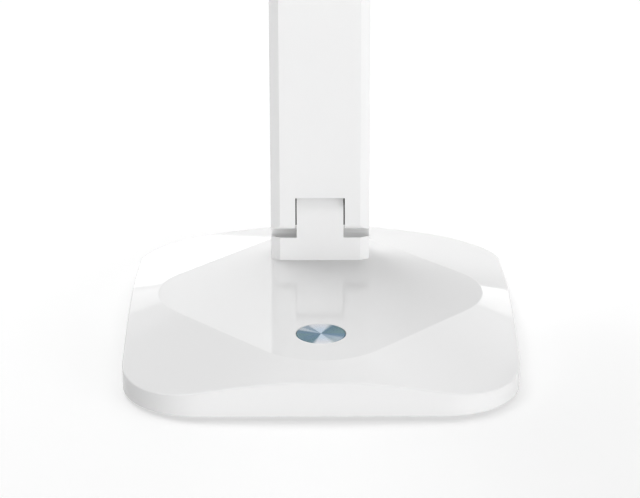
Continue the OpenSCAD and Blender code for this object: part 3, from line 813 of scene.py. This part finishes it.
def friction_washers(node, pin):
    """Two discs beside a tongue. Each sits in its ear's recess. Its rim, which the solid doesn't have, is wider
    and fills the slit down to the ear's end: a near-black sheet that paints shade into the slit."""
    low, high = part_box(node)
    seat_r = (high.z - low.z) / 2
    # the widened rim is painted shade: a near-black sheet that fills the slit where shade falls
    shade_rim_r = 6.05 * MM
    shade_rim_t = 0.44 * MM            # 0.01 mm less than from the disc to the ear's face
    bore = 2.1 * MM
    thick = 0.95 * MM
    ease = 0.1 * MM              # bevel of the rim's edges
    sides = 72
    inner = high.x - thick
    outline = (
        (0.0, bore), (0.0, shade_rim_r - ease), (ease, shade_rim_r), (shade_rim_t - ease, shade_rim_r),
        (shade_rim_t, shade_rim_r - ease), (shade_rim_t, seat_r), (thick, seat_r), (thick, bore),
    )
    work = bmesh.new()
    for side in (-1, 1):
        rings = []
        for out, r in outline:
            rings.append([
                work.verts.new((
                    side * (inner + out), pin.y + r * math.cos(2 * math.pi * step / sides),
                    pin.z + r * math.sin(2 * math.pi * step / sides),
                )) for step in range(sides)
            ])
        for lower, upper in zip(rings, rings[1:] + rings[:1]):
            ring_band(work, lower, upper)
    bmesh.ops.recalc_face_normals(work, faces=work.faces)
    mesh = mesh_of(work, node + "_discs")
    smooth(mesh)
    return dress(new_piece(node + "_discs", mesh), node)


# ---------------------------------------------------------------- screws, copied

def solids_of(node):
    """The lowest and highest corner of each separate solid of a node."""
    work = bmesh.new()
    work.from_mesh(NODES[node].data)
    bmesh.ops.remove_doubles(work, verts=work.verts, dist=MERGE)
    left = set(work.verts)
    boxes = []
    while left:
        front = [left.pop()]
        found = []
        while front:
            vertex = front.pop()
            found.append(vertex.co.copy())
            for edge in vertex.link_edges:
                other = edge.other_vert(vertex)
                if other in left:
                    left.remove(other)
                    front.append(other)
        low = Vector([min(co[i] for co in found) for i in range(3)])
        high = Vector([max(co[i] for co in found) for i in range(3)])
        boxes.append((low, high))
    work.free()
    return boxes


def copier():
    """A node tree that sets a copy of one piece on each point of a mesh, each turned at random."""
    tree = bpy.data.node_groups.new("copies", "GeometryNodeTree")
    tree.interface.new_socket("Geometry", in_out="OUTPUT", socket_type="NodeSocketGeometry")
    for name, kind in (
        ("Geometry", "NodeSocketGeometry"), ("Piece", "NodeSocketObject"),
        ("Tilt", "NodeSocketVector"), ("Most Turn", "NodeSocketFloat"),
        ("Seed", "NodeSocketInt"), ("Material", "NodeSocketMaterial"),
    ):
        tree.interface.new_socket(name, in_out="INPUT", socket_type=kind)
    g = Graph(tree)
    given = tree.nodes.new("NodeGroupInput").outputs
    part = g.node(
        "GeometryNodeObjectInfo", {"transform_space": "ORIGINAL"},
        {"Object": Value(g, given["Piece"])}, out=4,
    )
    spin = g.node(
        "FunctionNodeRandomValue", {"data_type": "FLOAT"},
        {2: 0.0, 3: Value(g, given["Most Turn"]), "Seed": Value(g, given["Seed"])}, out=1,
    )
    about = g.node("ShaderNodeCombineXYZ", inputs={"Z": spin})
    placed = g.node(
        "GeometryNodeInstanceOnPoints", inputs={
            "Points": Value(g, given["Geometry"]), "Instance": part,
            "Rotation": Value(g, given["Tilt"]),
        },
    )
    turned = g.node(
        "GeometryNodeRotateInstances",
        inputs={"Instances": placed, "Rotation": about, "Local Space": True},
    )
    whole = g.node("GeometryNodeRealizeInstances", inputs={"Geometry": turned})
    painted = g.node(
        "GeometryNodeSetMaterial",
        inputs={"Geometry": whole, "Material": Value(g, given["Material"])},
    )
    g.node("NodeGroupOutput", inputs={"Geometry": painted})
    return tree


COPIES = copier()


def copies(name, places, template, tilt, finish, most_turn, seed):
    """A copy of the template on each place, as one plain mesh."""
    mesh = bpy.data.meshes.new(name + "_places")
    mesh.from_pydata(places, [], [])
    piece = new_piece(name, mesh)
    modifier = piece.modifiers.new("copies", "NODES")
    modifier.node_group = COPIES
    names = {item.name: item.identifier for item in COPIES.interface.items_tree
             if item.in_out == "INPUT"}
    modifier[names["Piece"]] = template
    modifier[names["Tilt"]] = tilt
    modifier[names["Most Turn"]] = most_turn
    modifier[names["Seed"]] = seed
    modifier[names["Material"]] = FINISH[finish]
    settle(piece)
    bpy.data.objects.remove(template)
    return piece


def turned_screw(head_r, head_h, shank_r, length, crown):
    """A screw that points along +Z, its head under z = 0, with a cross recess."""
    tip = 1.2 * shank_r
    thread = 0.5 * MM            # from one turn to the next
    core = 0.8 * shank_r         # radius between the turns
    crown_steps = 4
    sides = 24
    profile = [(0.0, -head_h)]
    for step in range(crown_steps + 1):
        turn = math.pi / 2 * step / crown_steps
        r = head_r - crown * (1 - math.sin(turn))
        z = -head_h + crown * (1 - math.cos(turn))
        profile.append((r, z))
    profile += [(head_r, -0.1 * head_h), (head_r - 0.1 * head_h, 0.0), (shank_r, 0.0)]
    turns = max(1, int((length - tip) / thread))
    for step in range(turns):
        profile.append((shank_r, (step + 0.4) * thread))
        profile.append((core, (step + 0.9) * thread))
    profile += [(core, length - tip), (0.0, length)]
    work = bmesh.new()
    rings = [circle(work, Vector(), r, z, sides) for r, z in profile]
    for lower, upper in zip(rings, rings[1:]):
        ring_band(work, lower, upper)
    bmesh.ops.remove_doubles(work, verts=work.verts, dist=1e-7)
    bmesh.ops.recalc_face_normals(work, faces=work.faces)
    mesh = mesh_of(work, "screw")
    piece = new_piece("screw", mesh)
    cut_cross(piece, head_r, head_h)
    smooth(piece.data, 40.0)
    return piece


def cut_cross(piece, head_r, head_h):
    """The recess that the screwdriver turns."""
    arm = 0.66 * head_r
    half = 0.15 * head_r
    depth = 0.62 * head_h
    taper = 0.55                 # share of the width that is left at the recess's floor
    arm_taper = 0.8              # and across the first arm
    for long_x, long_y in ((arm, half), (half, arm)):
        work = bmesh.new()
        bmesh.ops.create_cube(work, size=2.0)
        for vertex in work.verts:
            inner = vertex.co.z > 0
            narrow = taper if inner else 1.0
            vertex.co.x *= long_x * narrow
            vertex.co.y *= long_y * (arm_taper if inner and long_y < long_x else narrow)
            vertex.co.z = -head_h + depth if inner else -head_h - depth
        cut_away(piece, mesh_of(work, "cross"))


UPWARDS = (0.0, 0.0, 0.0)
FORWARDS = (math.pi / 2, 0.0, 0.0)


def screws(node, head_h, shank_r, tilt, seed):
    """The screws of a node, each in its own solid's place."""
    places = []
    for low, high in solids_of(node):
        middle = (low + high) / 2
        head_r = (high.x - low.x) / 2
        if tilt == FORWARDS:
            places.append((middle.x, high.y - head_h, middle.z))
            length = high.y - low.y - head_h
        else:
            places.append((middle.x, middle.y, low.z + head_h))
            length = high.z - low.z - head_h
    template = turned_screw(head_r, head_h, shank_r, length, min(0.6 * head_h, 0.8 * MM))
    piece = copies(node + "_cross", places, template, tilt, "zinc_screws", math.pi / 2, seed)
    return dress(piece, node)


SCREWS = (                       # node, head height and shank radius in mm, direction, seed
    ("stem_screws", 1.4, 1.25, FORWARDS, 3),
    ("knuckle_screws", 0.8, 1.25, UPWARDS, 5),
    ("bezel_screws", 1.1, 1.25, UPWARDS, 7),
    ("base_screws", 1.8, 1.5, UPWARDS, 8),
    ("weight_screws", 1.0, 1.5, UPWARDS, 9),
    ("board_screws", 0.8, 1.25, UPWARDS, 11),
    ("hinge_block_screws", 2.2, 2.0, UPWARDS, 12),
)


def all_screws():
    for node, head_h, shank_r, tilt, seed in SCREWS:
        screws(node, head_h * MM, shank_r * MM, tilt, seed)


def dress_cad_nodes():
    """Every node that is shown as it is gets its finish."""
    for name, node in NODES.items():
        if not node.hide_render:
            paint(node, SLOT_OF[name])
            smooth_node(node)


def smooth_node(node):
    """A node's mesh is loose triangles, so a smooth look comes from a modifier that welds them."""
    weld = node.modifiers.new("weld", "WELD")
    weld.merge_threshold = MERGE


# ---------------------------------------------------------------- stage, light, camera

FLOOR_REACH = 3.0
SHOWN_FLOOR = 0.62               # the floor in the picture and in reflections
SHOWN_GLOW = 0.39
ROOM_FLOOR = 0.25                # the floor as it lights the lamp
ROOM_GLOW = 0.42
FADE_FROM = 0.45                 # from here on the shown floor fades into plain white
FADE_TO = 1.1


def shows_background(g):
    """1 for a ray from the camera, off a glossy surface or through a clear one."""
    kinds = ("Is Camera Ray", "Is Glossy Ray", "Is Transmission Ray")
    camera_ray, glossy_ray, clear_ray = (
        g.node("ShaderNodeLightPath", out=kind) for kind in kinds
    )
    return g.math("MAXIMUM", g.math("MAXIMUM", camera_ray, glossy_ray), clear_ray)


def lit_ground(g, albedo, glow):
    body = g.node("ShaderNodeBsdfDiffuse", inputs={"Color": (albedo, albedo, albedo)})
    light = g.node("ShaderNodeEmission", inputs={"Color": (1, 1, 1), "Strength": glow})
    return g.node("ShaderNodeAddShader", inputs={0: body, 1: light})


def floor():
    """Pale floor that reads as white, and keeps the lamp's shadow."""
    work = bmesh.new()
    bmesh.ops.create_grid(work, x_segments=2, y_segments=2, size=FLOOR_REACH)
    mesh = mesh_of(work, "floor")
    piece = new_piece("floor", mesh)
    made = bpy.data.materials.new("floor")
    made.use_nodes = True
    g = Graph(made.node_tree)
    away = g.node(
        "ShaderNodeVectorMath", {"operation": "LENGTH"},
        {0: g.node("ShaderNodeTexCoord", out="Object")}, out="Value",
    )
    shown = g.node("ShaderNodeMixShader", inputs={
        0: away.between(FADE_FROM, FADE_TO),
        1: lit_ground(g, SHOWN_FLOOR, SHOWN_GLOW),
        2: g.node("ShaderNodeEmission", inputs={"Color": (1, 1, 1), "Strength": 1.0}),
    })
    both = g.node("ShaderNodeMixShader", inputs={
        0: shows_background(g),
        1: lit_ground(g, ROOM_FLOOR, ROOM_GLOW),
        2: shown,
    })
    g.node("ShaderNodeOutputMaterial", inputs={"Surface": both})
    mesh.materials.append(made)


def soft_box(name, at, towards, size, strength, mirrored=True):
    data = bpy.data.lights.new(name, "AREA")
    data.shape = "RECTANGLE"
    data.size, data.size_y = size
    data.energy = strength
    lamp = bpy.data.objects.new(name, data)
    bpy.context.scene.collection.objects.link(lamp)
    lamp.visible_camera = False
    lamp.visible_glossy = mirrored
    lamp.location = at
    lamp.rotation_euler = (Vector(towards) - Vector(at)).to_track_quat("-Z", "Y").to_euler()


def direction(round_deg, up_deg):
    """Degrees round from the front towards the right, and degrees up, as a direction."""
    turn = math.radians(round_deg)
    rise = math.radians(up_deg)
    return Vector((
        math.cos(rise) * math.sin(turn), -math.cos(rise) * math.cos(turn), math.sin(rise)
    ))


WINDOW_FAR = 1.5

# Soft boxes far away: degrees round and up, degrees wide and high, and their level.
WINDOWS = (
    (190, 6, 21, 10, 1.15),
    (184, 23, 5, 16, 0.35),
    (197, 19, 10, 15, 0.6),
    (163, 21, 9, 16, 1.0),
    (161, 25, 12, 24, 0.5),
    (199, 25, 12, 22, 0.4),
    (167, 38, 14, 14, 0.35),
    (225, 64, 26, 26, 6.2),
    (135, 64, 26, 26, 1.3),
)


def window(name, round_deg, up_deg, wide_deg, high_deg, level):
    at = direction(round_deg, up_deg) * WINDOW_FAR
    wide = 2 * WINDOW_FAR * math.tan(math.radians(wide_deg) / 2)
    high = 2 * WINDOW_FAR * math.tan(math.radians(high_deg) / 2)
    soft_box(name, at + AIM, AIM, (wide, high), level * math.pi * wide * high)


def studio():
    soft_box(
        "low_strip", at=(0, -0.5, 0.06), towards=(0, 0, 0.03), size=(0.25, 0.05),
        strength=0.17, mirrored=False,
    )
    for number, values in enumerate(WINDOWS):
        window("window_%d" % number, *values)


# Soft patches of the world: degrees round and up, how tight the patch is, and its strength.
PATCHES = (
    (0, 4, 25, 8.6),
    (50, 5, 25, 6.6),
    (90, 5, 25, 2.0),
    (270, 5, 25, 0.3),
    (180, 25, 6, 1.15),
    (225, 64, 18, 0.8),
    (135, 64, 18, 1.6),
)


def surroundings():
    world = bpy.data.worlds.new("surroundings")
    bpy.context.scene.world = world
    world.use_nodes = True
    g = Graph(world.node_tree)
    way = g.node("ShaderNodeTexCoord", out=0)
    level = 0.0
    for round_deg, up_deg, tight, strength in PATCHES:
        facing = g.node(
            "ShaderNodeVectorMath", {"operation": "DOT_PRODUCT"},
            {0: way, 1: direction(round_deg, up_deg)}, out=1,
        )
        level = g.math("EXPONENT", (facing - 1.0) * tight, 0.0) * strength + level
    room = g.node("ShaderNodeBackground", inputs={"Color": (1, 1, 1), "Strength": level})
    white = g.node("ShaderNodeBackground", inputs={"Color": (1, 1, 1), "Strength": 1.0})
    both = g.node("ShaderNodeMixShader", inputs={0: shows_background(g), 1: room, 2: white})
    g.node("ShaderNodeOutputWorld", inputs={"Surface": both})


FOCAL = 2428.5                   # focal length in pixels
PICTURE = (640, 498)
EYE = Vector((-2.83, -891.06, 382.2)) * MM
AIM = Vector((-0.151, 0.0, 34.81)) * MM
ROLL = math.radians(-0.134)


def camera():
    data = bpy.data.cameras.new("camera")
    data.sensor_fit = "HORIZONTAL"
    data.sensor_width = 36.0
    data.lens = FOCAL / PICTURE[0] * data.sensor_width
    data.clip_start = 0.05
    data.clip_end = 20.0
    eye = bpy.data.objects.new("camera", data)
    bpy.context.scene.collection.objects.link(eye)
    forward = (AIM - EYE).normalized()
    right = forward.cross(Vector((0, 0, 1))).normalized()
    up = right.cross(forward)
    turned = right * math.cos(ROLL) + up * math.sin(ROLL)
    risen = up * math.cos(ROLL) - right * math.sin(ROLL)
    turn = Matrix((turned, risen, -forward)).transposed()
    eye.matrix_world = Matrix.Translation(EYE) @ turn.to_4x4()
    bpy.context.scene.camera = eye


def main():
    camera()
    base_cover()
    touch_key()
    eased_shells()
    friction_washers("lower_friction_washers", LOWER_PIN)
    friction_washers("upper_friction_washers", UPPER_PIN)
    all_screws()
    dress_cad_nodes()
    floor()
    studio()
    surroundings()
    bpy.context.scene.view_settings.view_transform = "Standard"


main()
